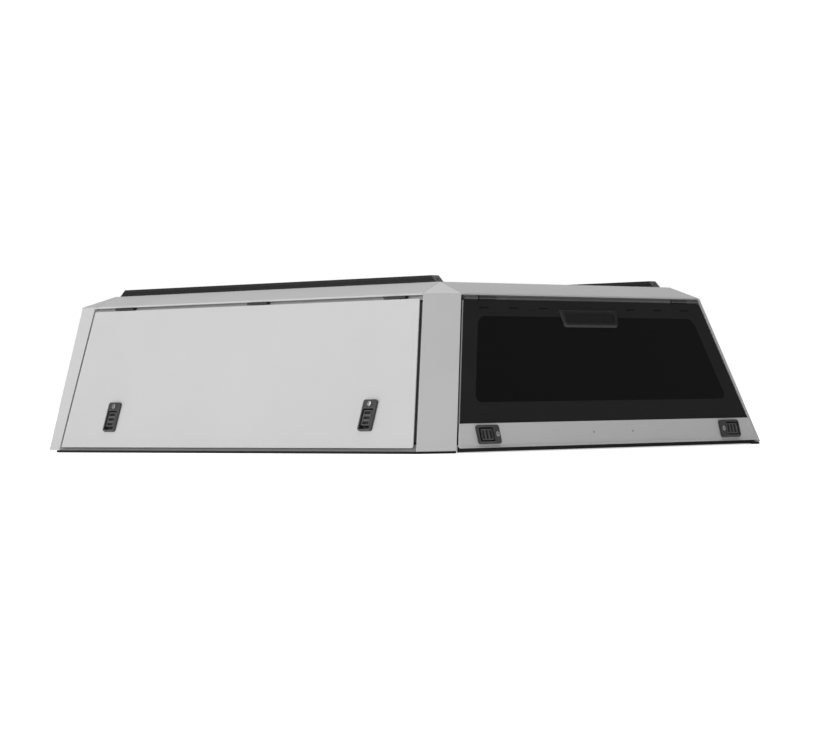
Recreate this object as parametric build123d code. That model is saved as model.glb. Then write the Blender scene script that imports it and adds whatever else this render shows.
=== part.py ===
from build123d import *
import os
import math

# Pickup truck canopy (hardtop): folded steel shell on the bed rails, with a
# lift-up door on each side, a lift-up glass rear door, and two roof rails.
# Frame: +X vehicle right, +Y towards the cab, +Z up, millimetres. The origin is
# the centre of the footprint, at the underside of the base seal.

# ---------------------------------------------------------------- dimensions
SEAL_H = 8.0            # base seal height under the steel
H_SHOULDER = 500.8      # lower edge of the roof's band above the steel base
H_FOLD = 506.8          # fold between the band and the sloped strips
H_ROOF = 546.8          # flat roof above the steel base
X_BASE = 886.5          # half width at the steel base
TS = 0.3454             # inward lean of the sides, mm per mm of height
Y_REAR = -944.5         # rear face at the steel base
TR = 0.2562             # forward lean of the rear face
X_REAR = 777.0          # half width of the rear opening at the base
TB = 0.3384             # inward lean of the rear opening's edges
C_PILLAR = 0.70         # plan slope of the rear corner pillar's face
Y_FRONT = 932.0         # front face at the steel base
TF = 0.030              # forward lean of the front face
Y_SEAM_F = 872.0        # rear end of the front corner's seam
X_APEX = 589.7          # half width of the flat roof
Y_APEX_R = -703.4       # rear edge of the flat roof
Y_APEX_F = 903.1        # front edge of the flat roof
R_ROOF = 5.0            # bend radius of the roof's folds
R_PILLAR = 1.2          # edge radius of the rear pillars' folds
R_FRONT = 5.0           # bend radius of the front corners
SHEET = 3.0             # roof and wall sheet
PILLAR_T = 34.0         # rear corner pillar depth
FRONT_T = 38.0          # front corner pillar depth
FOOT = 70.0             # length of the rear pillar's foot under the door

DOOR_PROUD = 4.0        # door skin stands this far out of the side
DOOR_SKIN = 3.0
DOOR_BAR = 13.0         # frame bars behind the skin
DOOR_LINER = 3.0        # inner sheet
H_DOOR_LO = 10.9
H_DOOR_HI = 489.1
Y_DOOR_F = 862.6        # front edge of the side door
Y_JAMB_F = 876.0        # front jamb of the side opening
GAP_DOOR_R = 8.5        # door to rear pillar

GLASS_GAP = 7.0         # rear door to pillars
Z_GLASS_LO = 93.7
Z_GLASS_HI = 491.5
Z_STRIP_LO = 22.0
REAR_PROUD = 3.0
FRAME_INSET = 74.0      # inner edge of the rear door's frame from the opening

HINGE_Y = (709.2, 27.8, -620.2)   # side door hinge centres
HINGE_R = 4.5
KNUCKLE = 58.0
RHINGE_R = 7.0
RHINGE_IN, RHINGE_OUT = 449.0, 602.0
RHINGE_W = 86.0         # fixed knuckle and its clearances

LATCH_L, LATCH_W = 106.0, 62.0
LATCH_SIDE_Y = (623.8, -627.2)
FLANGE = 8.0            # latch flange thickness
LATCH_SIDE_Z = 122.3
LATCH_REAR_X = 621.0
LATCH_REAR_Z = 56.5

RAIL_X = 557.7
RAIL_W = 38.0
RAIL_H = 23.3
RAIL_Y_TOP = (-650.8, 867.6)
RAIL_Y_BOT = (-673.5, 895.0)

WIN_X, WIN_Z0, WIN_Z1 = 500.0, 200.0, 430.0

Z0 = SEAL_H
Z_SH = Z0 + H_SHOULDER
Z_FD = Z0 + H_FOLD
Z_RF = Z0 + H_ROOF
SQS = math.sqrt(1 + TS * TS)
SQR = math.sqrt(1 + TR * TR)


# ------------------------------------------------------------------- helpers
def unit(v):
    n = math.sqrt(sum(c * c for c in v))
    return tuple(c / n for c in v)


def cross(a, b):
    return (a[1] * b[2] - a[2] * b[1], a[2] * b[0] - a[0] * b[2], a[0] * b[1] - a[1] * b[0])


def sub(a, b):
    return tuple(u - v for u, v in zip(a, b))


def xs(z):
    return X_BASE - TS * (z - Z0)


def xb(z):
    return X_REAR - TB * (z - Z0)


def yr(z):
    return Y_REAR + TR * (z - Z0)


def ya(z):
    return yr(z) + C_PILLAR * (xs(z) - xb(z))


def yf(z):
    return Y_FRONT + TF * (z - Z0)


# A half space is (point, outward normal); material is kept behind it.
def moved(point, n, off):
    return tuple(p + off * c for p, c in zip(point, n))


def side(s, off=0.0):
    n = unit((s, 0, TS))
    return moved((s * X_BASE, 0, Z0), n, off), n


def rear(off=0.0):
    n = unit((0, -1, TR))
    return moved((0, Y_REAR, Z0), n, off), n


def front(off=0.0):
    n = unit((0, 1, -TF))
    return moved((0, Y_FRONT, Z0), n, off), n


B_DIR = {s: (-s * TB, TR, 1.0) for s in (-1, 1)}
A_DIR = {s: (-s * TS, ya(Z0 + 1) - ya(Z0), 1.0) for s in (-1, 1)}


def pillar_face(s, off=0.0):
    n = unit(cross((s, C_PILLAR, 0), B_DIR[s]))
    if n[1] > 0:
        n = tuple(-c for c in n)
    return moved((s * X_REAR, Y_REAR, Z0), n, off), n


def jamb_a(s, dy=0.0):
    """Plane through the rear pillar's outer edge and the X axis; outward is forward."""
    n = unit(cross((1, 0, 0), A_DIR[s]))
    if n[1] < 0:
        n = tuple(-c for c in n)
    return (s * X_BASE, ya(Z0) + dy, Z0), n


def jamb_b(s, dx=0.0):
    """Plane through the rear opening's edge and the Y axis; outward is inboard."""
    n = unit(cross((0, 1, 0), B_DIR[s]))
    if n[0] * s > 0:
        n = tuple(-c for c in n)
    return (s * (X_REAR - dx), Y_REAR, Z0), n


def facet(a, b, c, off=0.0):
    n = unit(cross(sub(b, a), sub(c, a)))
    if n[2] < 0:
        n = tuple(-c for c in n)
    return moved(a, n, off), n


def apex(s, end):
    return (s * X_APEX, Y_APEX_R if end < 0 else Y_APEX_F, Z_RF)


def roof_side(s, off=0.0):
    return facet(apex(s, -1), apex(s, 1), (s * xs(Z_FD), 0, Z_FD), off)


def roof_rear(off=0.0):
    return facet(apex(-1, -1), apex(1, -1), (0, yr(Z_FD), Z_FD), off)


def roof_front(off=0.0):
    return facet(apex(-1, 1), apex(1, 1), (0, yf(Z_FD), Z_FD), off)


def roof_corner_r(s, off=0.0):
    return facet((s * xs(Z_FD), ya(Z_FD), Z_FD), (s * xb(Z_FD), yr(Z_FD), Z_FD), apex(s, -1), off)


def roof_corner_f(s, off=0.0):
    return facet((s * xs(Z_FD), Y_SEAM_F, Z_FD), (s * xs(Z_FD), yf(Z_FD), Z_FD), apex(s, 1), off)


def upright(p, q, keep):
    """Vertical plane through p and q; keep is a point on the kept side."""
    n = unit((q[1] - p[1], -(q[0] - p[0]), 0))
    if sum((k - a) * c for k, a, c in zip(keep, p, n)) > 0:
        n = tuple(-c for c in n)
    return (p[0], p[1], 0), n


def lo(axis, v):
    n = [0, 0, 0]
    n[axis] = -1
    p = [0, 0, 0]
    p[axis] = v
    return tuple(p), tuple(n)


def hi(axis, v):
    p, n = lo(axis, v)
    return p, tuple(-c for c in n)


def flip(h):
    return h[0], tuple(-c for c in h[1])


def cut_by(shape, *halves):
    for p, n in halves:
        shape = split(shape, bisect_by=Plane(origin=p, z_dir=n), keep=Keep.BOTTOM)
    return shape


def box(x, y, z):
    return Pos((x[0] + x[1]) / 2, (y[0] + y[1]) / 2, (z[0] + z[1]) / 2) * Box(x[1] - x[0], y[1] - y[0], z[1] - z[0])


def convex(x, y, z, *halves):
    """The box x, y, z cut back behind each half space."""
    return cut_by(box(x, y, z), *halves)


def span(s, a, b):
    """x range from |a| to |b| on side s."""
    return (s * a, s * b) if s > 0 else (s * b, s * a)


def leaning(point, n):
    """Plane on a leaning face: local z is outward, local y runs up the slope."""
    return Plane(origin=point, x_dir=unit(cross((0, 0, 1), n)), z_dir=n)


def side_plane(s, y, z, off):
    p, n = side(s, off)
    return leaning((p[0] - (z - p[2]) * n[2] / n[0], y, z), n)


def rear_plane(x, z, off):
    p, n = rear(off)
    return leaning((x, p[1] - (z - p[2]) * n[2] / n[1], z), n)


def slab(plane, w, h, z0, z1, r=0.0, at=(0.0, 0.0)):
    """Rounded rectangle w by h between local heights z0 and z1."""
    sk = RectangleRounded(w, h, r) if r > 0 else Rectangle(w, h)
    return plane * Pos(at[0], at[1], z0) * extrude(sk, amount=z1 - z0)


def along(shape, d, tol=0.02):
    """Straight edges of the shape that run along direction d."""
    d = unit(d)
    out = []
    for e in shape.edges():
        if e.geom_type == GeomType.LINE:
            t = unit(tuple(e @ 1 - e @ 0))
            if abs(abs(sum(a * b for a, b in zip(t, d))) - 1) < tol * tol:
                out.append(e)
    return out


def near(edges, p, dist=1.0):
    return [e for e in edges if e.distance_to(Vector(*p)) < dist]


parts = {}
SIDES = (("left", -1), ("right", 1))

# ------------------------------------------------------------------ roof shell
# one rounded block of the whole top, hollowed, then parted along its seams
roof_faces = [roof_side(-1), roof_side(1), roof_rear(), roof_front(), roof_corner_r(-1), roof_corner_r(1),
              roof_corner_f(-1), roof_corner_f(1), side(-1), side(1), rear(), front(),
              pillar_face(-1), pillar_face(1)]
block = convex((-900, 900), (-990, 990), (440, Z_RF), *roof_faces)
folds = [e for e in block.edges() if e.bounding_box().max.Z > 445]
block = fillet(folds, R_ROOF)
hollow = convex((-900, 900), (-990, 990), (400, Z_RF - SHEET), *[(moved(p, n, -SHEET), n) for p, n in roof_faces])
shell = cut_by(block - hollow, lo(2, Z_SH))

seam = {}
for s in (-1, 1):
    seam[s] = dict(a=(s * xs(Z_FD), ya(Z_FD), 0), b=(s * xb(Z_FD), yr(Z_FD), 0), pr=(s * X_APEX, Y_APEX_R, 0),
                   pf=(s * X_APEX, Y_APEX_F, 0), f=(s * xs(Z_FD), Y_SEAM_F, 0), g=(s * xs(Z_FD), yf(Z_FD), 0),
                   mid=(s * 660, 0, 0))
E = 12.0
parts["roof_panel"] = cut_by(shell, hi(0, X_APEX - E), lo(0, -X_APEX + E), hi(1, Y_APEX_F - E), lo(1, Y_APEX_R + E))
rim = shell - box((-X_APEX + E, X_APEX - E), (Y_APEX_R + E, Y_APEX_F - E), (400, 700))
for name, s in SIDES:
    k = seam[s]
    half = cut_by(rim, ((0, 0, 0), (-s, 0, 0)))
    parts[f"{name}_roof_side"] = cut_by(half, ((s * (X_APEX - E), 0, 0), (-s, 0, 0)),
                                        upright(k["a"], k["pr"], k["mid"]), upright(k["f"], k["pf"], k["mid"]))
rest = rim - parts["left_roof_side"] - parts["right_roof_side"]
caps = {}
rear_end = cut_by(rest, hi(1, 0))
front_end = cut_by(rest, lo(1, 0))
header_r = cut_by(rear_end, upright(seam[-1]["b"], seam[-1]["pr"], (0, -760, 0)), upright(seam[1]["b"], seam[1]["pr"], (0, -760, 0)))
header_f = cut_by(front_end, upright(seam[-1]["g"], seam[-1]["pf"], (0, 920, 0)), upright(seam[1]["g"], seam[1]["pf"], (0, 920, 0)))
corners = rear_end - header_r
corners_f = front_end - header_f


def biggest(shape):
    return sorted(shape.solids(), key=lambda q: -q.volume)[0]


for name, s in SIDES:
    caps[s] = (biggest(cut_by(corners, ((0, 0, 0), (-s, 0, 0)))), biggest(cut_by(corners_f, ((0, 0, 0), (-s, 0, 0)))))

# ------------------------------------------------------------- fixed structure
for name, s in SIDES:
    k = seam[s]
    # rail above the side opening
    cuts = (roof_side(s, -SHEET), flip(jamb_a(s)), upright(k["a"], k["pr"], k["mid"]))
    parts[f"{name}_side_header"] = convex(span(s, 600, 760), (-900, Y_JAMB_F), (456.0, 530.0),
                                          side(s, -26), flip(side(s, -54)), *cuts)
    # painted gutter that closes the gap above the door
    parts[f"{name}_side_header"] += convex(span(s, 600, 760), (-900, Y_JAMB_F), (492.0, 530.0),
                                           side(s, -12), flip(side(s, -26)), *cuts)
    # base rail
    sill = convex(span(s, 838, 890), (-900, Y_JAMB_F), (Z0, Z0 + 22), side(s, -9), flip(jamb_a(s, FOOT)))
    # and the rear pillar's foot, which stands further out
    foot = convex(span(s, 838, 890), (-960, -600), (Z0, Z0 + 22), side(s, -6), flip(jamb_a(s, 0.4)), jamb_a(s, FOOT - 0.6))
    parts[f"{name}_sill"] = Compound(children=[sill, foot])
    # rear corner pillar, with a lip behind the side door and one behind the glass
    pil = convex(span(s, 500, 900), (-990, -600), (0, 540),
                 pillar_face(s), flip(pillar_face(s, -PILLAR_T)), jamb_a(s), jamb_b(s))
    edges = near(along(pil, A_DIR[s], 0.01), (s * xs(300), ya(300), 300)) + near(along(pil, B_DIR[s], 0.01), (s * xb(300), yr(300), 300))
    pil = cut_by(fillet(edges, R_PILLAR), lo(2, Z0), hi(2, Z_SH))
    lip = convex(span(s, 600, 900), (-960, -600), (Z0 + 22, 456.0),
                 side(s, -26), flip(side(s, -34)), flip(jamb_a(s)), jamb_a(s, 34))
    lip2 = convex(span(s, 500, 800), (-960, -700), (Z0 + 12, 500.0),
                  rear(-26), flip(rear(-30)), flip(jamb_b(s)), jamb_b(s, 24))
    parts[f"{name}_rear_pillar"] = pil + lip + lip2 + caps[s][0]
    # front corner pillar with its lip behind the side door
    pil = convex(span(s, 560, 900), (Y_JAMB_F, 980), (0, 540), side(s), flip(side(s, -FRONT_T)), front())
    edges = near(pil.edges(), (s * xs(300), yf(300), 300), 0.5)
    pil = fillet(edges, R_FRONT)
    edges = near(pil.edges(), (s * xs(300), Y_JAMB_F, 300), 0.5)
    pil = cut_by(fillet(edges, R_PILLAR), lo(2, Z0), hi(2, Z_SH))
    lip = convex(span(s, 600, 900), (Y_JAMB_F - 44, Y_JAMB_F), (Z0 + 22, 456.0), side(s, -26), flip(side(s, -34)))
    parts[f"{name}_front_pillar"] = pil + lip + caps[s][1]

parts["rear_header"] = header_r
parts["front_header"] = header_f
# the rear strip carries the rear door on a box behind it
parts["rear_header"] += convex((-585, 585), (-830, -752), (Z_SH, 540), roof_rear(-SHEET), rear(-SHEET))


# front wall: lower panel, two stiles and upper panel around a fixed window
def wall(x, z, *more):
    return convex(x, (880, 980), z, front(), flip(front(-4)), *more)


parts["front_lower_panel"] = wall((-900, 900), (Z0, WIN_Z0), side(-1, -FRONT_T), side(1, -FRONT_T))
parts["front_stiles"] = Compound(children=[wall((-900, -WIN_X), (WIN_Z0, WIN_Z1), side(-1, -FRONT_T)),
                                           wall((WIN_X, 900), (WIN_Z0, WIN_Z1), side(1, -FRONT_T))])
parts["front_upper_panel"] = wall((-900, 900), (WIN_Z1, Z_SH), side(-1, -FRONT_T), side(1, -FRONT_T))
parts["front_window"] = convex((-WIN_X + 8, WIN_X - 8), (880, 980), (WIN_Z0 + 8, WIN_Z1 - 8),
                               front(-0.5), flip(front(-5.5)))
ws = convex((-WIN_X - 6, WIN_X + 6), (880, 980), (WIN_Z0 - 6, WIN_Z1 + 6), front(3), flip(front(0)))
ws += convex((-WIN_X, WIN_X), (880, 980), (WIN_Z0, WIN_Z1), front(0), flip(front(-8)))
ws -= box((-WIN_X + 8, WIN_X - 8), (870, 990), (WIN_Z0 + 8, WIN_Z1 - 8))
parts["front_window_seal"] = ws

# roof bows under the roof sheet
Z_IN = Z_RF - SHEET
bows = [convex((-630, 630), (y - 20, y + 20), (Z_IN - 26, Z_IN), roof_side(-1, -SHEET), roof_side(1, -SHEET))
        for y in (-340.0, 80.0, 500.0)]
parts["roof_bows"] = Compound(children=bows)

# base seal under the rails, the pillar feet and the front wall
seals = []
for name, s in SIDES:
    seals.append(convex(span(s, 842, 882), (ya(Z0) + 6, 898.0), (0, SEAL_H), side(s, -9)))
    foot = convex(span(s, 700, 890), (-960, -840), (0, SEAL_H), pillar_face(s, -5), flip(pillar_face(s, -29)),
                  lo(1, ya(Z0) - 200), hi(1, ya(Z0) + 5.5), jamb_b(s, 2))
    seals.append(foot)
seals.append(box((-841.5, 841.5), (898.5, 925), (0, SEAL_H)))
parts["base_seal"] = Compound(children=seals)

# roof rails: low extrusions with slanted ends and a groove along each side
for name, s in SIDES:
    prof = Plane.YZ * make_face(Polyline((RAIL_Y_BOT[0], Z_RF), (RAIL_Y_BOT[1], Z_RF), (RAIL_Y_TOP[1], Z_RF + RAIL_H),
                                         (RAIL_Y_TOP[0], Z_RF + RAIL_H), close=True))
    rail = Pos(s * RAIL_X - RAIL_W / 2, 0, 0) * extrude(prof, amount=RAIL_W)
    top = [e for e in rail.edges() if e.bounding_box().min.Z > Z_RF + RAIL_H - 0.1 and e.bounding_box().size.Y > 100]
    rail = fillet(top, 3.0)
    for t in (-1, 1):
        rail -= Pos(s * RAIL_X + t * RAIL_W / 2, 105, Z_RF + 10.5) * Box(6, 1700, 5)
    parts[f"{name}_roof_rail"] = rail

# rubber seals round the side openings
for name, s in SIDES:
    seal = convex(span(s, 600, 900), (-960, Y_JAMB_F - 1), (Z0 + 22, 500), side(s, -21), flip(side(s, -25.8)), flip(jamb_a(s, 2)))
    seal -= convex(span(s, 600, 900), (-960, Y_JAMB_F - 42), (Z0 + 36, 478), side(s, -10), flip(side(s, -40)), flip(jamb_a(s, 32)))
    parts[f"{name}_door_seal"] = cut_by(seal, hi(2, 491.0))
# rubber seal round the rear opening, on the pillars' lips and the header
seal = convex((-800, 800), (-1000, -700), (Z0 + 0.3, Z_SH - 12), rear(-21.5), flip(rear(-25.8)), flip(jamb_b(-1, 1)), flip(jamb_b(1, 1)))
seal -= convex((-800, 800), (-1000, -700), (-20, Z_SH - 42), rear(0), flip(rear(-40)), flip(jamb_b(-1, 23)), flip(jamb_b(1, 23)))
parts["rear_opening_seal"] = seal

# ------------------------------------------------------------------ side doors
# the hinge axis runs in the gap above the door
AX_Z = 503.0
AX_X = xs(AX_Z)
fixed_hinges = []
for name, s in SIDES:
    skin = convex(span(s, 600, 920), (-960, Y_DOOR_F), (Z0 + H_DOOR_LO, Z0 + H_DOOR_HI),
                  side(s, DOOR_PROUD), flip(side(s, DOOR_PROUD - DOOR_SKIN)), flip(jamb_a(s, GAP_DOOR_R)))
    corner = [e for e in skin.edges() if e.length < DOOR_SKIN * 1.3]
    skin = fillet(corner, 6.0)
    pf, nf = side(s, DOOR_PROUD)
    rim = [e for e in skin.edges() if all(abs(sum((q - p) * c for q, p, c in zip(tuple(e @ u), pf, nf))) < 0.01 for u in (0, 0.5, 1))]
    skin = fillet(rim, 1.0)
    d0 = DOOR_PROUD - DOOR_SKIN
    d1 = d0 - DOOR_BAR
    y_back = jamb_a(s, GAP_DOOR_R + 4)
    y_front = Y_DOOR_F - 8
    bars = [
        convex(span(s, 600, 920), (-960, y_front), (434.0, 486.0), side(s, d0), flip(side(s, d1)), flip(y_back)),
        convex(span(s, 600, 920), (-960, y_front), (Z0 + 28, 72.0), side(s, d0), flip(side(s, d1)), flip(y_back)),
        convex(span(s, 600, 920), (y_front - 50, y_front), (72.5, 433.5), side(s, d0), flip(side(s, d1))),
        convex(span(s, 600, 920), (-960, 0), (72.5, 433.5), side(s, d0), flip(side(s, d1)), flip(y_back),
               jamb_a(s, GAP_DOOR_R + 54)),
    ]
    parts[f"{name}_door_frame"] = Compound(children=bars)
    liner = convex(span(s, 600, 920), (-960, y_front), (Z0 + 28, 486.0), side(s, d1), flip(side(s, d1 - DOOR_LINER)), flip(y_back))
    parts[f"{name}_door_liner"] = liner
    for y in LATCH_SIDE_Y:
        skin -= slab(side_plane(s, y, LATCH_SIDE_Z, DOOR_PROUD), LATCH_W - 9, LATCH_L - 9, -40, 10, 6)
    parts[f"{name}_door_skin"] = skin
    knuckles = []
    for y in HINGE_Y:
        kn = Pos(s * AX_X, y, AX_Z) * Rot(90, 0, 0) * Cylinder(HINGE_R, KNUCKLE)
        leaf = convex(span(s, 700, 740), (y - KNUCKLE / 2, y + KNUCKLE / 2), (Z0 + H_DOOR_HI, AX_Z), side(s, 3.5), flip(side(s, -2.0)))
        knuckles.append(kn + leaf)
        for t in (-1, 1):
            yc = y + t * (KNUCKLE / 2 + 10)
            f = Pos(s * AX_X, yc, AX_Z) * Rot(90, 0, 0) * Cylinder(HINGE_R, 19)
            arm = convex(span(s, 600, AX_X), (yc - 9.5, yc + 9.5), (AX_Z - 1, AX_Z + 4.0), flip(side(s, -12)))
            fixed_hinges.append(f + arm)
    parts[f"{name}_door_hinges"] = Compound(children=knuckles)


# latch: flanged housing let into the sheet, with a paddle in its pocket; the
# lock end is at +local (up on the sides, inboard at the rear)
def latch(plane, w, h, at, pad, pad_at):
    body = slab(plane, w, h, 0, FLANGE, 9)
    rim_edges = [e for e in body.edges() if plane.to_local_coords(e.center()).Z > FLANGE - 0.1]
    body = fillet(rim_edges, 2.5)
    body += slab(plane, w - 10, h - 10, -12, 0, 5.5)
    body -= slab(plane, at[0], at[1], -9.5, 12, 4, at[2:])
    pd = slab(plane, pad[0], pad[1], 0, 6, 3, pad_at)
    top = [e for e in pd.edges() if plane.to_local_coords(e.center()).Z > 5.9]
    return body, fillet(top, 1.0)


for name, s in SIDES:
    housings = []
    for y, nm in zip(LATCH_SIDE_Y, ("front", "rear")):
        pl = side_plane(s, y, LATCH_SIDE_Z, DOOR_PROUD)
        h, pd = latch(pl, LATCH_W, LATCH_L, (LATCH_W - 14, LATCH_L - 36, 0, -13), (LATCH_W - 25, LATCH_L - 54), (0, -9))
        housings.append(h)
        parts[f"{name}_{nm}_latch_paddle"] = pd
    parts[f"{name}_latch_housings"] = Compound(children=housings)

# ------------------------------------------------------------------- rear door
RAX_Z = 500.5
rp, rn = rear(-2.0)
RAX_Y = rp[1] - (RAX_Z - rp[2]) * rn[2] / rn[1]


def rd(z, o0, o1, gap, *more, x=(-800, 800)):
    """Piece of the rear door between two offsets, kept gap inside the opening."""
    return convex(x, (-1000, -700), z, rear(o1), flip(rear(o0)), flip_b(-1, gap), flip_b(1, gap), *more)


def flip_b(s, gap):
    return flip(jamb_b(s, gap))


parts["rear_glass"] = rd((Z_GLASS_LO, Z_GLASS_HI), -4, 1, GLASS_GAP)
strip = rd((Z_STRIP_LO, Z_GLASS_LO - 0.3), -1, REAR_PROUD, GLASS_GAP - 1)
rail = rd((26.0, 112.0), -16, -4, GLASS_GAP + 4) + rd((26.0, Z_GLASS_LO - 0.3), -4, -1, GLASS_GAP + 4)
yl = yr(Z_STRIP_LO) - REAR_PROUD * SQR
lipf = Plane.YZ * make_face(Polyline((yl, Z_STRIP_LO), (yl + 4.1, Z_STRIP_LO), (yl - 4.9, 15.5), (yl - 9.0, 15.5), close=True))
lip = cut_by(Pos(-800, 0, 0) * extrude(lipf, amount=1600), flip_b(-1, GLASS_GAP - 1), flip_b(1, GLASS_GAP - 1))
for s in (-1, 1):
    hole = slab(rear_plane(s * LATCH_REAR_X, LATCH_REAR_Z, REAR_PROUD), LATCH_L - 9, LATCH_W - 9, -40, 10, 6)
    strip -= hole
    rail -= hole
parts["rear_door_strip"] = strip + lip
parts["rear_door_rail"] = rail
parts["rear_door_seal"] = rd((3.0, 22.0), -11, -5, GLASS_GAP + 6) + rd((18.0, 26.0), -11, -2, GLASS_GAP + 6)
# frame bars bonded behind the glass, under its printed border
side_bars = [rd((112.4, 430.0), -16, -4, GLASS_GAP + 8, jamb_b(s, FRAME_INSET)) for s in (-1, 1)]
top_bar = rd((430.4, 461.6), -16, -4, GLASS_GAP + 8)
parts["rear_door_frame"] = Compound(children=side_bars + [top_bar])
housings = []
for name, s in SIDES:
    pl = rear_plane(s * LATCH_REAR_X, LATCH_REAR_Z, REAR_PROUD)
    h, pd = latch(pl, LATCH_L, LATCH_W, (LATCH_L - 36, LATCH_W - 14, s * 13, 0), (LATCH_L - 54, LATCH_W - 25), (s * 9, 0))
    housings.append(h)
    parts[f"rear_{name}_latch_paddle"] = pd
parts["rear_latch_housings"] = Compound(children=housings)
# top profile with the hinge tube; fixed knuckles sit between its segments
body = Pos(0, RAX_Y, RAX_Z) * Rot(0, 90, 0) * Cylinder(RHINGE_R, 2 * RHINGE_IN - 1)
body += convex((-RHINGE_OUT + 12, RHINGE_OUT - 12), (-900, -700), (462.0, RAX_Z - 5), rear(-4), flip(rear(-9)))
for s in (-1, 1):
    x0, x1 = RHINGE_IN + RHINGE_W + 1, RHINGE_OUT - 1
    body += Pos(s * (x0 + x1) / 2, RAX_Y, RAX_Z) * Rot(0, 90, 0) * Cylinder(RHINGE_R, x1 - x0)
for s in (-1, 1):
    x0, x1 = span(s, RHINGE_IN, RHINGE_IN + RHINGE_W)
    body -= Pos((x0 + x1) / 2, RAX_Y, RAX_Z) * Box(x1 - x0 + 1, 30, 15.6)
    x0 += 5
    f = Pos((x0 + x1) / 2, RAX_Y, RAX_Z) * Rot(0, 90, 0) * Cylinder(RHINGE_R, x1 - x0)
    f += Pos((x0 + x1) / 2, RAX_Y + 5, (RAX_Z + Z_SH) / 2) * Box(x1 - x0, 8, Z_SH - RAX_Z)
    fixed_hinges.append(f)
parts["rear_door_profile"] = body
parts["hinge_brackets"] = Compound(children=fixed_hinges)
# third brake light on the glass
pl = rear_plane(0, 436.0, 1.0)
outline = ((-150, 29.5), (-137, -31), (137, -31), (150, 29.5))
tilt = math.radians(38)
bl = pl * Pos(0, 0, 4) * Box(320, 80, 8)
for i, (u, v) in enumerate(outline):
    u2, v2 = outline[(i + 1) % 4]
    nx, ny = unit((v2 - v, u - u2))
    p = pl.from_local_coords(Vector(u, v, 0))
    q = pl.from_local_coords(Vector(u + nx * math.cos(tilt), v + ny * math.cos(tilt), math.sin(tilt)))
    bl = cut_by(bl, (tuple(p), tuple(q - p)))
sloped = [e for e in bl.edges() if abs(abs(pl.to_local_coords(e @ 1).Z - pl.to_local_coords(e @ 0).Z) - 8) < 0.1]
bl = fillet([e for e in sloped if pl.to_local_coords(e.center()).Y < 0], 17)
sloped = [e for e in bl.edges() if abs(abs(pl.to_local_coords(e @ 1).Z - pl.to_local_coords(e @ 0).Z) - 8) < 0.1]
bl = fillet([e for e in sloped if pl.to_local_coords(e.center()).Y > 15], 3)
bl -= slab(pl, 250, 31, 5.0, 20, 8, (-6, -1))
parts["brake_light_housing"] = bl
parts["brake_light_lens"] = slab(pl, 248, 29, 5.0, 6.2, 7, (-6, -1))

# ------------------------------------------------------------------------ write
if __name__ == "__main__":
    os.makedirs("parts", exist_ok=True)
    for f in os.listdir("parts"):
        if f.endswith(".step"):
            os.remove(os.path.join("parts", f))
    for name, shape in parts.items():
        sol = shape.solids()
        out = sol[0] if len(sol) == 1 else Compound(children=list(sol))
        export_step(out, os.path.join("parts", f"{name}.step"))
    print("AX_X", AX_X, "AX_Z", AX_Z, "RAX_Y", RAX_Y, "RAX_Z", RAX_Z)
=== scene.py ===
import bpy
import bmesh
import math
from mathutils import Matrix, Vector


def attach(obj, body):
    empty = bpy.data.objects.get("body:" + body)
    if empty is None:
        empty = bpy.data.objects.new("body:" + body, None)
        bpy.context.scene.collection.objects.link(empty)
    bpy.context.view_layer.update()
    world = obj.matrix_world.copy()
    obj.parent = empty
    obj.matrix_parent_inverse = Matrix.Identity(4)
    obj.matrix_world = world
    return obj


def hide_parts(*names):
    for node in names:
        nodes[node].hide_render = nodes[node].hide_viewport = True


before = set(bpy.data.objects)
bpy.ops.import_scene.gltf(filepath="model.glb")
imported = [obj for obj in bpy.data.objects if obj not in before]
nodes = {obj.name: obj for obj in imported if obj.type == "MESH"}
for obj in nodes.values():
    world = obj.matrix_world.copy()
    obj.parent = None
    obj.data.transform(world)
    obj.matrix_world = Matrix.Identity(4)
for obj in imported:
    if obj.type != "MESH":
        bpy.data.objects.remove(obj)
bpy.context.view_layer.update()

scene = bpy.context.scene

# ------------------------------------------------------------------ dimensions
# millimetres, as in the CAD source
Z0 = 8.0
X_BASE, TS = 886.5, 0.3454
Y_REAR, TR = -944.5, 0.2562
X_REAR, TB = 777.0, 0.3384
C_PILLAR = 0.70
Y_FRONT, TF, Y_SEAM_F = 932.0, 0.030, 872.0
X_APEX, Y_APEX_R, Y_APEX_F = 589.7, -703.4, 903.1
Z_FD, Z_SH, Z_RF = 514.8, 508.8, 554.8
DOOR_PROUD, REAR_PROUD, FLANGE = 4.0, 3.0, 8.0
LATCH_L, LATCH_W = 106.0, 62.0
LATCH_SIDE_Y, LATCH_SIDE_Z = (623.8, -627.2), 122.3
LATCH_REAR_X, LATCH_REAR_Z = 621.0, 56.5
MM = 0.001


def xs(z):
    return X_BASE - TS * (z - Z0)


def xb(z):
    return X_REAR - TB * (z - Z0)


def yr(z):
    return Y_REAR + TR * (z - Z0)


def ya(z):
    return yr(z) + C_PILLAR * (xs(z) - xb(z))


def yf(z):
    return Y_FRONT + TF * (z - Z0)


def basis(origin, n):
    """Frame on a leaning face: z outward, y up the slope. Millimetres."""
    n = Vector(n).normalized()
    x = Vector((0, 0, 1)).cross(n).normalized()
    y = n.cross(x)
    m = Matrix((x, y, n)).transposed().to_4x4()
    m.translation = Vector(origin)
    return m


def side_frame(s, y, z, off):
    k = math.sqrt(1 + TS * TS)
    return basis((s * (xs(z) + off * k), y, z), (s, 0, TS))


def rear_frame(x, z, off):
    k = math.sqrt(1 + TR * TR)
    return basis((x, yr(z) - off * k, z), (0, -1, TR))


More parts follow.
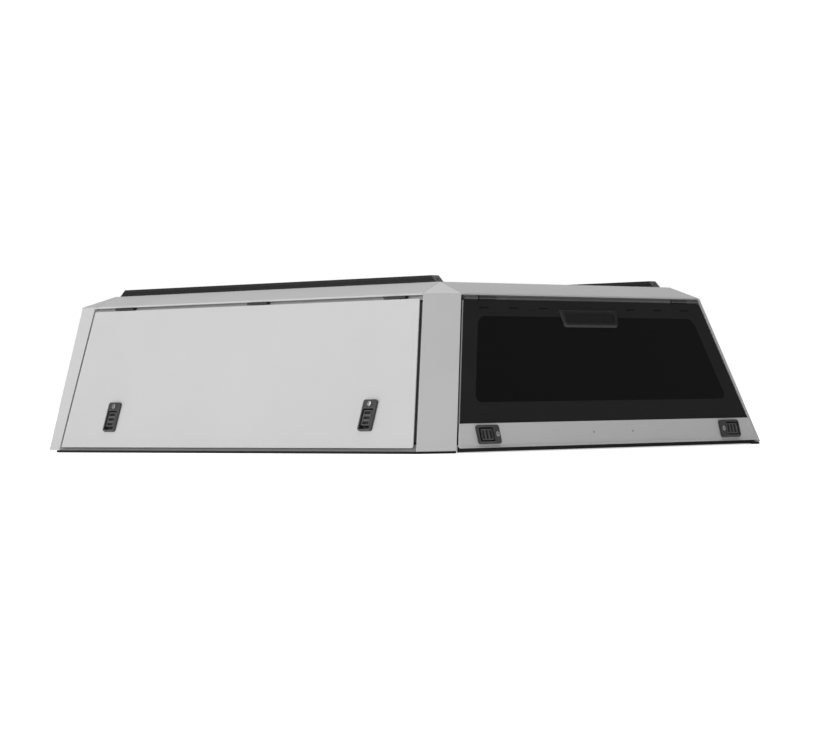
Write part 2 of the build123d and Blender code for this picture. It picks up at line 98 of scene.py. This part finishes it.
# --------------------------------------------------------------- mesh building
def rrect(w, h, r, n=7):
    """Rounded rectangle outline, counter-clockwise."""
    r = max(min(r, w / 2 - 1e-3, h / 2 - 1e-3), 0.01)
    pts = []
    for cx, cy, a0 in ((w / 2 - r, h / 2 - r, 0), (-w / 2 + r, h / 2 - r, 90),
                       (-w / 2 + r, -h / 2 + r, 180), (w / 2 - r, -h / 2 + r, 270)):
        for i in range(n + 1):
            a = math.radians(a0 + 90 * i / n)
            pts.append((cx + r * math.cos(a), cy + r * math.sin(a)))
    return pts


class Build:
    """Collects geometry in millimetres and makes one object of it."""

    def __init__(self):
        self.v, self.f, self.m = [], [], []

    def loft(self, m, rings, start=True, end=True, mat=0, wrap=False):
        """Rings of equal count, outward facing when they go up counter-clockwise; wrap joins the last to the first."""
        base = len(self.v)
        n = len(rings[0])
        for ring in rings:
            for p in ring:
                self.v.append(m @ Vector(p))
        for k in range(len(rings) - 1):
            for i in range(n):
                a, b = base + k * n + i, base + k * n + (i + 1) % n
                self.f.append((a, b, b + n, a + n))
                self.m.append(mat)
        if wrap:
            last = base + (len(rings) - 1) * n
            for i in range(n):
                j = (i + 1) % n
                self.f.append((last + i, last + j, base + j, base + i))
                self.m.append(mat)
            return
        if start:
            self.f.append(tuple(base + i for i in reversed(range(n))))
            self.m.append(mat)
        if end:
            self.f.append(tuple(base + (len(rings) - 1) * n + i for i in range(n)))
            self.m.append(mat)

    def plate(self, m, w, h, r, z0, z1, bev=0.8, at=(0, 0), nb=4, mat=0, n=7, under=0.0):
        """Rounded rectangle block with a rounded upper edge."""
        rings = []
        if under:
            rings.append([(x + at[0], y + at[1], z0) for x, y in rrect(w - 2 * under, h - 2 * under, max(r - under, 0.2), n)])
            z0 = z0 + under
        rings.append([(x + at[0], y + at[1], z0) for x, y in rrect(w, h, r, n)])
        for i in range(nb + 1):
            a = math.pi / 2 * i / nb
            d = bev * (1 - math.cos(a))
            rings.append([(x + at[0], y + at[1], z1 - bev + bev * math.sin(a))
                          for x, y in rrect(w - 2 * d, h - 2 * d, max(r - d, 0.2), n)])
        self.loft(m, rings, mat=mat)

    def collar(self, m, wo, ho, ro, wi, hi, ri, z0, z1, zf, bev=0.8, bin_=0.8, at=(0, 0), ati=(0, 0), floor=True, mat=0, n=7, nb=4):
        """Block with a rounded outer edge and a pocket with a rounded rim, down to zf."""
        rings = [[(x + at[0], y + at[1], z0) for x, y in rrect(wo, ho, ro, n)]]
        for i in range(nb + 1):
            a = math.pi / 2 * i / nb
            d = bev * (1 - math.cos(a))
            rings.append([(x + at[0], y + at[1], z1 - bev + bev * math.sin(a))
                          for x, y in rrect(wo - 2 * d, ho - 2 * d, max(ro - d, 0.2), n)])
        for i in range(nb + 1):
            a = math.pi / 2 * i / nb
            d = bin_ * (1 - math.sin(a))
            rings.append([(x + ati[0], y + ati[1], z1 - bin_ + bin_ * math.cos(a))
                          for x, y in rrect(wi + 2 * d, hi + 2 * d, ri + d, n)])
        if not floor:       # a frame that stays open at the bottom
            rings.append([(x + ati[0], y + ati[1], z0) for x, y in rrect(wi, hi, ri, n)])
            self.loft(m, rings, mat=mat, wrap=True)
            return
        rings.append([(x + ati[0], y + ati[1], zf + 1.0) for x, y in rrect(wi - 0.6, hi - 0.6, max(ri - 0.3, 0.3), n)])
        rings.append([(x + ati[0], y + ati[1], zf) for x, y in rrect(wi - 2.4, hi - 2.4, max(ri - 1.2, 0.3), n)])
        self.loft(m, rings, mat=mat)

    def disc(self, m, rings, n=36, mat=0, at=(0, 0), start=True, end=True):
        """Turned piece: rings of (radius, z)."""
        self.loft(m, [[(at[0] + r * math.cos(2 * math.pi * i / n), at[1] + r * math.sin(2 * math.pi * i / n), z)
                       for i in range(n)] for r, z in rings], mat=mat, start=start, end=end)

    def bar(self, a, b, profile, up, mat=0):
        """Straight bar from a to b with a closed 2D profile (side, up)."""
        a, b = Vector(a), Vector(b)
        d = (b - a).normalized()
        u = (Vector(up) - Vector(up).dot(d) * d).normalized()
        sd = d.cross(u)
        base = len(self.v)
        n = len(profile)
        for q in (a, b):
            for x, y in profile:
                self.v.append(q + x * sd + y * u)
        for i in range(n):
            j = (i + 1) % n
            self.f.append((base + i, base + j, base + n + j, base + n + i))
            self.m.append(mat)
        self.f.append(tuple(base + i for i in reversed(range(n))))
        self.f.append(tuple(base + n + i for i in range(n)))
        self.m += [mat, mat]

    def make(self, name, mats, body, sharp=34.0):
        me = bpy.data.meshes.new(name)
        me.from_pydata([tuple(c * MM for c in v) for v in self.v], [], self.f)
        for i, p in enumerate(me.polygons):
            p.material_index = self.m[i]
        for mt in mats:
            me.materials.append(mt)
        bm = bmesh.new()
        bm.from_mesh(me)
        bmesh.ops.recalc_face_normals(bm, faces=bm.faces)
        for f in bm.faces:
            f.smooth = True
        for e in bm.edges:
            e.smooth = e.calc_face_angle(0.0) < math.radians(sharp)
        bm.to_mesh(me)
        bm.free()
        ob = bpy.data.objects.new(name, me)
        scene.collection.objects.link(ob)
        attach(ob, body)
        return ob


# ------------------------------------------------------------------- materials
class Mat:
    def __init__(self, name):
        self.mat = bpy.data.materials.new(name)
        self.mat.use_nodes = True
        self.t = self.mat.node_tree
        self.t.nodes.clear()
        self.out = self.t.nodes.new("ShaderNodeOutputMaterial")
        self.b = self.t.nodes.new("ShaderNodeBsdfPrincipled")
        self.link(self.b.outputs[0], self.out.inputs[0])
        self.co = self.t.nodes.new("ShaderNodeTexCoord").outputs["Object"]

    def link(self, a, b):
        self.t.links.new(a, b)

    def set(self, **kw):
        for k, v in kw.items():
            self.b.inputs[k.replace("_", " ")].default_value = v
        return self

    def stretched(self, scale):
        n = self.t.nodes.new("ShaderNodeMapping")
        n.inputs["Scale"].default_value = scale
        self.link(self.co, n.inputs["Vector"])
        return n.outputs[0]

    def noise(self, scale, detail=3.0, rough=0.5, co=None, dist=0.0):
        n = self.t.nodes.new("ShaderNodeTexNoise")
        n.inputs["Scale"].default_value = scale
        n.inputs["Detail"].default_value = detail
        n.inputs["Roughness"].default_value = rough
        n.inputs["Distortion"].default_value = dist
        self.link(co or self.co, n.inputs["Vector"])
        return n.outputs["Fac"]

    def voronoi(self, scale, co=None, feature="F1"):
        n = self.t.nodes.new("ShaderNodeTexVoronoi")
        n.feature = feature
        n.inputs["Scale"].default_value = scale
        self.link(co or self.co, n.inputs["Vector"])
        return n.outputs["Distance"]

    def ramp(self, fac, stops):
        n = self.t.nodes.new("ShaderNodeValToRGB")
        r = n.color_ramp
        while len(r.elements) < len(stops):
            r.elements.new(0.5)
        for e, (p, c) in zip(r.elements, stops):
            e.position = p
            e.color = (c[0], c[1], c[2], 1) if isinstance(c, (tuple, list)) else (c, c, c, 1)
        self.link(fac, n.inputs[0])
        return n.outputs[0]

    def remap(self, fac, a, b, c, d):
        n = self.t.nodes.new("ShaderNodeMapRange")
        for i, v in enumerate((a, b, c, d)):
            n.inputs[i + 1].default_value = v
        self.link(fac, n.inputs[0])
        return n.outputs[0]

    def math(self, op, a, b=None, c=None, clamp=False):
        n = self.t.nodes.new("ShaderNodeMath")
        n.operation = op
        n.use_clamp = clamp
        for i, v in enumerate((a, b, c)):
            if v is None:
                continue
            if isinstance(v, (int, float)):
                n.inputs[i].default_value = v
            else:
                self.link(v, n.inputs[i])
        return n.outputs[0]

    def mix(self, fac, a, b):
        n = self.t.nodes.new("ShaderNodeMix")
        n.data_type = "RGBA"
        for sock, v in ((n.inputs[0], fac), (n.inputs[6], a), (n.inputs[7], b)):
            if isinstance(v, (int, float)):
                sock.default_value = v
            elif isinstance(v, (tuple, list)):
                sock.default_value = (v[0], v[1], v[2], 1)
            else:
                self.link(v, sock)
        return n.outputs[2]

    def bump(self, height, dist, strength=1.0, prev=None):
        n = self.t.nodes.new("ShaderNodeBump")
        n.inputs["Distance"].default_value = dist
        n.inputs["Strength"].default_value = strength
        self.link(height, n.inputs["Height"])
        if prev is not None:
            self.link(prev, n.inputs["Normal"])
        return n.outputs[0]

    def normal(self, out):
        self.link(out, self.b.inputs["Normal"])

    def colour(self, out):
        self.link(out, self.b.inputs["Base Color"])

    def rough(self, out):
        self.link(out, self.b.inputs["Roughness"])

    def xyz(self):
        n = self.t.nodes.new("ShaderNodeSeparateXYZ")
        self.link(self.co, n.inputs[0])
        return n.outputs


def grey(v):
    return (v, v, v)


def make_paint(name, base, rough, tint=(1, 1, 1)):
    """Satin powder coat: even colour with faint cloudiness, a fine orange peel and a little dust low down."""
    m = Mat(name)
    m.set(Coat_Weight=0.18, Coat_Roughness=0.16, Specular_IOR_Level=0.42)
    c = lambda k: tuple(base * k * t for t in tint)
    cloud = m.noise(3.2, 4, 0.55)
    col = m.ramp(cloud, [(0.3, c(0.985)), (0.7, c(1.012))])
    grain = m.noise(1500.0, 2, 0.6)
    col = m.mix(m.remap(grain, 0.35, 0.7, 0.0, 0.05), col, c(0.72))
    z = m.xyz()["Z"]
    dust = m.math("MULTIPLY", m.remap(z, 0.055, 0.008, 0.0, 0.10), m.remap(m.noise(26.0, 5, 0.6), 0.42, 0.66, 0.0, 1.0))
    col = m.mix(dust, col, tuple(base * k for k in (0.78, 0.765, 0.74)))
    m.colour(col)
    m.rough(m.remap(m.noise(9.0, 5, 0.6), 0.3, 0.7, rough - 0.035, rough + 0.045))
    peel = m.bump(m.noise(430.0, 2, 0.45), 0.00005)
    m.normal(m.bump(m.noise(1700.0, 2, 0.5), 0.000012, prev=peel))
    return m.mat


def make_plastic(name, base, rough, tint=(1, 1, 1), grain=900.0, depth=0.00006):
    """Moulded plastic with a leather-like mould grain whose pits are a little darker than its high spots."""
    m = Mat(name)
    m.set(Specular_IOR_Level=0.45)
    g = m.voronoi(grain)
    c = lambda k: tuple(base * k * t for t in tint)
    col = m.ramp(m.noise(38.0, 5, 0.6), [(0.3, c(0.86)), (0.7, c(1.16))])
    col = m.mix(m.remap(g, 0.0, 0.45, 0.22, 0.0), col, c(0.55))
    m.colour(col)
    m.rough(m.remap(m.noise(55.0, 4, 0.6), 0.3, 0.7, rough - 0.06, rough + 0.08))
    m.normal(m.bump(m.noise(grain * 2.4, 2, 0.5), depth * 0.35, prev=m.bump(g, depth)))
    return m.mat


def make_rubber(name, base=0.011):
    m = Mat(name)
    m.set(Specular_IOR_Level=0.3)
    m.colour(m.ramp(m.noise(60.0, 5, 0.65), [(0.3, grey(base * 0.8)), (0.72, tuple(base * k for k in (1.5, 1.46, 1.42)))]))
    m.rough(m.remap(m.noise(140.0, 3, 0.6), 0.3, 0.7, 0.62, 0.82))
    m.normal(m.bump(m.noise(2200.0, 2, 0.5), 0.00003, prev=m.bump(m.noise(260.0, 3, 0.5), 0.00008)))
    return m.mat


def make_black_metal(name, base=0.024, rough=0.4, spec=0.5):
    """Black powder coat on an extrusion: fine speckle, faint drawing lines along the length, faint paler patches."""
    m = Mat(name)
    m.set(Specular_IOR_Level=spec, Coat_Weight=0.1, Coat_Roughness=0.25)
    sp = m.noise(2100.0, 2, 0.6)
    lines = m.noise(700.0, 3, 0.55, co=m.stretched((1.0, 0.02, 1.0)))
    col = m.ramp(sp, [(0.35, grey(base * 0.8)), (0.7, grey(base * 1.35))])
    col = m.mix(m.remap(m.noise(14.0, 5, 0.65), 0.5, 0.75, 0.0, 0.35), col, grey(base * 1.7))
    m.colour(col)
    m.rough(m.remap(m.noise(30.0, 4, 0.6), 0.3, 0.7, rough - 0.06, rough + 0.08))
    m.normal(m.bump(sp, 0.00004, prev=m.bump(lines, 0.000012)))
    return m.mat


def make_metal(name, base=(0.72, 0.71, 0.69), rough=0.28):
    m = Mat(name)
    m.set(Metallic=1.0)
    n = m.noise(1300.0, 3, 0.5, co=m.stretched((1.0, 1.0, 0.05)))
    m.colour(m.ramp(n, [(0.3, tuple(c * 0.86 for c in base)), (0.7, base)]))
    m.rough(m.remap(m.noise(120.0, 3, 0.6), 0.3, 0.7, rough - 0.05, rough + 0.1))
    m.normal(m.bump(n, 0.00001))
    return m.mat


def make_rear_glass():
    """Dark tinted glass with a black printed border and short vent dashes in it."""
    m = Mat("rear_glass_tinted")
    m.set(IOR=1.5, Specular_IOR_Level=0.14)
    s = m.xyz()
    ax = m.math("ABSOLUTE", s["X"])
    k = 0.344
    q1 = m.math("MULTIPLY", m.math("SUBTRACT", m.math("MULTIPLY_ADD", s["Z"], k, ax), 0.550 + k * 0.443), 1 / math.sqrt(1 + k * k))
    q2 = m.math("SUBTRACT", m.math("ABSOLUTE", m.math("SUBTRACT", s["Z"], 0.3005)), 0.1395)
    r = 0.028
    a = m.math("MAXIMUM", m.math("ADD", q1, r), 0.0)
    b = m.math("MAXIMUM", m.math("ADD", q2, r), 0.0)
    d = m.math("SUBTRACT", m.math("SQRT", m.math("ADD", m.math("MULTIPLY", a, a), m.math("MULTIPLY", b, b))), r)
    inner = m.remap(d, 0.0003, -0.0003, 0.0, 1.0)
    # vent dashes in the printed border above the clear area
    near = None
    for c in (0.225, 0.370, 0.515):
        v = m.math("ABSOLUTE", m.math("SUBTRACT", ax, c))
        near = v if near is None else m.math("MINIMUM", near, v)
    dash = m.math("MULTIPLY", m.math("LESS_THAN", near, 0.0225),
                  m.math("LESS_THAN", m.math("ABSOLUTE", m.math("SUBTRACT", s["Z"], 0.4675)), 0.0022))
    # the printed border's tone varies a little
    border = m.ramp(m.noise(7.0, 4, 0.6), [(0.3, grey(0.0170)), (0.7, grey(0.0195))])
    border = m.mix(dash, border, grey(0.004))
    # the pane's ground side edges are paler than its printed face
    edge = m.math("LESS_THAN", 0.7694 + 0.3384 * 0.008, m.math("MULTIPLY_ADD", s["Z"], 0.3384, ax))
    m.colour(m.mix(edge, m.mix(inner, border, grey(0.003)), (0.38, 0.385, 0.38)))
    m.link(m.math("MULTIPLY", inner, 0.10), m.b.inputs["Transmission Weight"])
    m.rough(m.remap(m.noise(11.0, 5, 0.6), 0.3, 0.75, 0.03, 0.075))
    m.normal(m.bump(m.noise(5.0, 2, 0.5), 0.00004))
    return m.mat


def make_window_glass():
    m = Mat("front_glass_tinted")
    m.set(IOR=1.5, Specular_IOR_Level=0.4, Transmission_Weight=0.75)
    m.colour(m.ramp(m.noise(4.0, 4, 0.6), [(0.3, (0.05, 0.055, 0.055)), (0.7, (0.065, 0.07, 0.07))]))
    m.rough(m.remap(m.noise(12.0, 5, 0.6), 0.3, 0.75, 0.02, 0.06))
    m.normal(m.bump(m.noise(5.0, 2, 0.5), 0.00004))
    return m.mat


def make_lens():
    """Smoked red lens with small prisms moulded inside."""
    m = Mat("lamp_lens_smoked")
    m.set(IOR=1.49, Coat_Weight=0.15, Coat_Roughness=0.06, Specular_IOR_Level=0.25)
    w = m.t.nodes.new("ShaderNodeTexWave")
    w.wave_type = "BANDS"
    w.bands_direction = "X"
    w.inputs["Scale"].default_value = 55.0
    m.link(m.co, w.inputs["Vector"])
    w2 = m.t.nodes.new("ShaderNodeTexWave")
    w2.wave_type = "BANDS"
    w2.bands_direction = "Z"
    w2.inputs["Scale"].default_value = 55.0
    m.link(m.co, w2.inputs["Vector"])
    p = m.math("MULTIPLY", w.outputs["Fac"], w2.outputs["Fac"])
    m.colour(m.ramp(p, [(0.2, (0.0085, 0.0075, 0.0075)), (0.8, (0.0150, 0.0120, 0.0120))]))
    m.rough(m.remap(m.noise(30.0, 3, 0.5), 0.3, 0.7, 0.08, 0.16))
    m.normal(m.bump(p, 0.00025, 0.5))
    return m.mat


paint = make_paint("paint_light_grey", 0.60, 0.40)
paint_in = make_paint("paint_inside", 0.40, 0.52)
# darker copy of the body paint for the sill: painted shade under the proud lower edges of the doors
sill_paint_painted_shade = make_paint("paint_base_rail_painted_shade", 0.21, 0.55)
plastic = make_plastic("latch_plastic_black", 0.050, 0.50)
plastic_hi = make_plastic("paddle_plastic_black", 0.085, 0.46)
# near-black plastic on slot floors and the keyway: painted shade for the inside of the slots
slot_shade_black = make_plastic("slot_painted_shade_black", 0.004, 0.6)
lamp_plastic = make_plastic("lamp_plastic_black", 0.008, 0.38, grain=1400.0, depth=0.00003)
rubber = make_rubber("rubber_black")
rubber_gap = make_rubber("rubber_opening_seals", 0.06)
seam_mat = make_rubber("seam_sealer_grey", 0.085)
rail_metal = make_black_metal("rail_powder_coat", 0.014, 0.5, 0.3)
# black powder coat on the side door frames, partly a real finish and partly painted shade for the door gaps they show
# through
frame_metal_gap_shade = make_black_metal("door_frame_powder_coat_gap_shade", 0.09, 0.5)
hinge_metal = make_black_metal("hinge_powder_coat", 0.022, 0.38)
profile_metal = make_black_metal("profile_powder_coat", 0.06, 0.45)
steel = make_metal("lock_steel")
screw_steel = make_metal("screw_steel", (0.5, 0.5, 0.49), 0.35)
rear_glass_mat = make_rear_glass()
window_mat = make_window_glass()
lens_mat = make_lens()


def node_material(n):
    if n in ("left_door_seal", "right_door_seal", "rear_opening_seal"):
        return rubber_gap
    if "seal" in n:
        return rubber
    if n == "rear_glass":
        return rear_glass_mat
    if n == "front_window":
        return window_mat
    if n == "brake_light_lens":
        return lens_mat
    if n == "brake_light_housing":
        return lamp_plastic
    if "paddle" in n:
        return plastic_hi
    if "latch_housings" in n:
        return plastic
    if "roof_rail" in n:
        return rail_metal
    if n == "rear_door_profile":
        return profile_metal
    if "hinge" in n:
        return hinge_metal
    # door frames: black, partly as painted shade in the gaps round the doors
    if n in ("left_door_frame", "right_door_frame"):
        return frame_metal_gap_shade
    if n in ("rear_door_frame", "rear_door_rail"):
        return rail_metal
    # the sill gets the darkened copy of the body paint, as painted shade
    if "sill" in n:
        return sill_paint_painted_shade
    if "liner" in n or "bows" in n or "side_header" in n:
        return paint_in
    return paint


for name, ob in nodes.items():
    ob.data.materials.clear()
    ob.data.materials.append(node_material(name))
    for p in ob.data.polygons:
        p.material_index = 0

# --------------------------------------------------------------------- latches
def latch_parts(m, w, h, lock, housing_name, body, tall):
    """Lock barrel on the flange and rim bead round the pocket; the lock end is at lock[:2]."""
    T = FLANGE
    b = Build()
    # raised bead round the pocket
    if tall:
        b.collar(m, w - 8.5, h - 30.5, 6.6, w - 14, h - 36, 4, T - 0.3, T + 1.2, T + 0.1, 0.9, 0.6, at=(0, -13), ati=(0, -13), floor=False)
    else:
        b.collar(m, w - 30.5, h - 8.5, 6.6, w - 36, h - 14, 4, T - 0.3, T + 1.2, T + 0.1, 0.9, 0.6, at=(lock[2], 0), ati=(lock[2], 0), floor=False)
    # lock bezel
    b.disc(m, [(11.0, T - 0.2), (11.0, T + 1.4), (10.4, T + 2.0), (9.2, T + 2.2), (8.3, T + 2.0), (8.0, T + 1.1)], at=lock[:2], end=False)
    b.make(housing_name + "_trim", [plastic_hi], body)
    c = Build()
    c.disc(m, [(7.9, T), (7.9, T + 2.0), (7.5, T + 2.5), (6.6, T + 2.65)], at=lock[:2])
    c.make(housing_name + "_lock", [steel], body)
    # keyway: a thin near-black plate on the lock face, painted shade of the key slot
    d = Build()
    if tall:
        d.plate(m, 1.5, 8.2, 0.7, T + 2.2, T + 2.75, 0.1, at=lock[:2], nb=1, n=3)
    else:
        d.plate(m, 8.2, 1.5, 0.7, T + 2.2, T + 2.75, 0.1, at=lock[:2], nb=1, n=3)
    d.make(housing_name + "_keyway", [slot_shade_black], body)


def paddle(m, name, node, body, w, h, at, across):
    """Pull paddle: rim and cross ribs over a sunken near-black floor, painted shade for the dark slots between them."""
    b = Build()
    # the sunken floor takes the near-black slot material: painted shade in the slots
    b.plate(m, w, h, 3, 0.0, 2.0, 0.4, at=at, mat=1, under=0.5)
    b.collar(m, w, h, 3, w - 8.0, h - 8.0, 2.0, 1.6, 6.6, 1.9, 1.4, 0.7, at=at, ati=at, floor=False)
    for i in (-1, 1):
        if across:      # slots run along local x, stacked on local y
            b.plate(m, w - 7.0, 8.0, 0.8, 1.8, 6.3, 1.0, at=(at[0], at[1] + i * 8.67), n=3)
        else:
            b.plate(m, 8.0, h - 7.0, 0.8, 1.8, 6.3, 1.0, at=(at[0] + i * 8.67, at[1]), n=3)
    ob = b.make(name, [plastic_hi, slot_shade_black], body)
    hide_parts(node)


for nm, s in (("left", -1), ("right", 1)):
    for y, fr in zip(LATCH_SIDE_Y, ("front", "rear")):
        m = side_frame(s, y, LATCH_SIDE_Z, DOOR_PROUD)
        latch_parts(m, LATCH_W, LATCH_L, (0, 38.0, 0), f"{nm}_{fr}_latch", f"{nm}_door", True)
        paddle(m, f"{nm}_{fr}_paddle_piece", f"{nm}_{fr}_latch_paddle", f"{nm}_{fr}_paddle", 37.0, 52.0, (0, -9.0), True)
    m = rear_frame(s * LATCH_REAR_X, LATCH_REAR_Z, REAR_PROUD)
    latch_parts(m, LATCH_L, LATCH_W, (-s * 38.0, 0, s * 13.0), f"rear_{nm}_latch", "rear_door", False)
    paddle(m, f"rear_{nm}_paddle_piece", f"rear_{nm}_latch_paddle", f"rear_{nm}_paddle", 52.0, 37.0, (s * 9.0, 0), False)

# ------------------------------------------------------- screws on the strip
b = Build()
for x in (-100.0, 100.0):
    m = rear_frame(x, 57.0, REAR_PROUD)
    b.disc(m, [(4.2, -0.2), (4.2, 0.5), (3.6, 1.3), (2.4, 1.9), (1.7, 2.0), (1.6, 0.9)], n=24)
b.make("strip_screws", [screw_steel], "rear_door")

# ------------------------------------------------------------- seams and welds
def seam(b, p, q, up, w=0.85):
    prof = [(w * math.cos(2 * math.pi * i / 10), w * math.sin(2 * math.pi * i / 10)) for i in range(10)]
    p, q = Vector(p), Vector(q)
    u = Vector(up).normalized()
    b.bar(p - u * (w * 0.9), q - u * (w * 0.9), prof, u)


b = Build()
for s in (-1, 1):
    A = (s * xs(Z_FD), ya(Z_FD), Z_FD)
    B = (s * xb(Z_FD), yr(Z_FD), Z_FD)
    P = (s * X_APEX, Y_APEX_R, Z_RF)
    F = (s * xs(Z_FD), Y_SEAM_F, Z_FD)
    G = (s * xs(Z_FD), yf(Z_FD), Z_FD)
    Q = (s * X_APEX, Y_APEX_F, Z_RF)
    seam(b, A, P, (s * 0.35, -0.15, 0.93))
    seam(b, B, P, (s * 0.10, -0.30, 0.95))
    seam(b, F, Q, (s * 0.31, 0.0, 0.95))
    seam(b, G, Q, (s * 0.15, 0.35, 0.93))
b.make("roof_seams", [seam_mat], "canopy")

# ------------------------------------------------------------------- rail ends
b = Build()
c = Build()
RB, RT, RH = (-673.5, 895.0), (-650.8, 867.6), 23.3
for s in (-1, 1):
    for k, sgn in ((0, -1), (1, 1)):
        y0, y1 = RB[k], RT[k]
        o = Vector((s * 557.7, (y0 + y1) / 2, Z_RF + RH / 2))
        dirn = Vector((0, (y1 - y0), RH)).normalized()
        n = Vector((0, sgn * RH, abs(y1 - y0))).normalized()
        x = dirn.cross(n)
        m = Matrix((x, dirn, n)).transposed().to_4x4()
        m.translation = o
        L = math.hypot(y1 - y0, RH)
        b.plate(m, 36.4, L - 3.2, 2.4, -0.4, 0.7, 0.5, at=(0, -0.6), n=4)
        c.disc(m, [(3.6, 0.4), (3.6, 1.2), (3.0, 1.9), (1.8, 2.1), (1.6, 1.1)], at=(0, 0), n=20)
b.make("rail_end_caps", [plastic_hi], "canopy")
c.make("rail_end_screws", [hinge_metal], "canopy")

# ----------------------------------------------------------------------- stage
def floor():
    me = bpy.data.meshes.new("studio_floor")
    r = 60.0
    n = 96
    verts = [(0, 0, 0)] + [(r * math.cos(2 * math.pi * i / n), r * math.sin(2 * math.pi * i / n), 0) for i in range(n)]
    me.from_pydata(verts, [], [(0, 1 + i, 1 + (i + 1) % n) for i in range(n)])
    m = Mat("studio_floor")
    m.colour(m.ramp(m.noise(0.6, 3, 0.5), [(0.3, grey(0.80)), (0.7, grey(0.815))]))
    m.set(Roughness=0.9, Specular_IOR_Level=0.1, Emission_Color=(1, 1, 1, 1))
    # the floor brightens away from the canopy, into the white background
    v = m.t.nodes.new("ShaderNodeVectorMath")
    v.operation = "LENGTH"
    m.link(m.co, v.inputs[0])
    s = m.xyz()
    ax = m.math("ABSOLUTE", s["X"])
    # the canopy's footprint: the floor's glow is cut off there, a painted shadow under the canopy
    under = m.math("MULTIPLY", m.math("LESS_THAN", ax, 0.872), m.math("LESS_THAN", m.math("ABSOLUTE", s["Y"]), 0.918))
    under = m.math("MULTIPLY", under, m.math("LESS_THAN", m.math("SUBTRACT", m.math("MULTIPLY", ax, 0.7), s["Y"]), 1.460))
    glow = m.remap(v.outputs["Value"], 1.2, 3.0, FLOOR_GLOW, 1.0)
    # light that the floor throws back on the object falls off to the right
    lp = m.t.nodes.new("ShaderNodeLightPath").outputs["Is Camera Ray"]
    back = m.math("MULTIPLY", m.remap(s["X"], -1.5, 1.5, 0.80, 0.22), m.math("SUBTRACT", 1.0, under))
    m.link(m.math("ADD", m.math("MULTIPLY", glow, lp), m.math("MULTIPLY", back, m.math("SUBTRACT", 1.0, lp))), m.b.inputs["Emission Strength"])
    me.materials.append(m.mat)
    ob = bpy.data.objects.new("studio_floor", me)
    scene.collection.objects.link(ob)


FLOOR_GLOW = 0.60
floor()

world = bpy.data.worlds.new("studio")
scene.world = world
world.use_nodes = True
t = world.node_tree
t.nodes.clear()
out = t.nodes.new("ShaderNodeOutputWorld")
bg_cam = t.nodes.new("ShaderNodeBackground")
bg_cam.inputs[0].default_value = (1, 1, 1, 1)
bg_cam.inputs[1].default_value = 1.0
bg = t.nodes.new("ShaderNodeBackground")
# the room is a little dimmer on the right
tc = t.nodes.new("ShaderNodeTexCoord")
sx = t.nodes.new("ShaderNodeSeparateXYZ")
mr = t.nodes.new("ShaderNodeMapRange")
for i, v in enumerate((-1.0, 1.0, 0.52, 0.30)):
    mr.inputs[i + 1].default_value = v
t.links.new(tc.outputs["Generated"], sx.inputs[0])
t.links.new(sx.outputs["X"], mr.inputs[0])
t.links.new(mr.outputs[0], bg.inputs[1])
lp = t.nodes.new("ShaderNodeLightPath")
mx = t.nodes.new("ShaderNodeMixShader")
# reflections see a dimmer room than the diffuse light
bg_gl = t.nodes.new("ShaderNodeBackground")
bg_gl.inputs[1].default_value = 0.28
mg = t.nodes.new("ShaderNodeMixShader")
t.links.new(lp.outputs["Is Glossy Ray"], mg.inputs[0])
t.links.new(bg.outputs[0], mg.inputs[1])
t.links.new(bg_gl.outputs[0], mg.inputs[2])
t.links.new(lp.outputs["Is Camera Ray"], mx.inputs[0])
t.links.new(mg.outputs[0], mx.inputs[1])
t.links.new(bg_cam.outputs[0], mx.inputs[2])
t.links.new(mx.outputs[0], out.inputs[0])


def area(name, pos, target, size, power):
    l = bpy.data.lights.new(name, "AREA")
    l.shape = "RECTANGLE"
    l.size, l.size_y = size
    l.energy = power
    o = bpy.data.objects.new(name, l)
    scene.collection.objects.link(o)
    d = Vector(target) - Vector(pos)
    o.rotation_euler = d.to_track_quat("-Z", "Y").to_euler()
    o.location = pos
    return o


area("key_left", (-5.3, 0.7, 2.9), (0, 0, 0.25), (4.5, 2.6), 108)
area("top_soft", (0.8, 0.2, 4.5), (0, 0, 0.3), (3.0, 3.0), 88)
fill = area("fill_right", (5.5, 4.5, 2.4), (0, 0, 0.3), (3.0, 2.0), 8)
fill.visible_glossy = False

# ---------------------------------------------------------------------- camera
cam = bpy.data.cameras.new("camera")
co = bpy.data.objects.new("camera", cam)
scene.collection.objects.link(co)
C = Vector((-8061.0, -7740.4, 179.2)) * MM
right = Vector((0.7491884861539126, -0.6622496626569423, -0.011916229486490551))
up = Vector((0.04158869969440116, 0.029078004105833485, 0.9987115948735902))
fwd = Vector((0.6610499166266778, 0.748718808357308, -0.049327008219384696))
F_PX = 1561.17
AIM_PX = (534.0, 277.0)
ZOOM = 2.02
d = (fwd * F_PX + right * (AIM_PX[0] - 407.5) - up * (AIM_PX[1] - 369.5)).normalized()
z_axis = -d
x_axis = (right - right.dot(d) * d).normalized()
y_axis = z_axis.cross(x_axis)
m = Matrix((x_axis, y_axis, z_axis)).transposed().to_4x4()
m.translation = C
co.matrix_world = m
cam.sensor_width = 36.0
cam.sensor_fit = "HORIZONTAL"
cam.lens = 36.0 * F_PX * ZOOM / 815.0
cam.clip_end = 400.0
scene.camera = co
scene.view_settings.view_transform = "Standard"
scene.view_settings.look = "None"
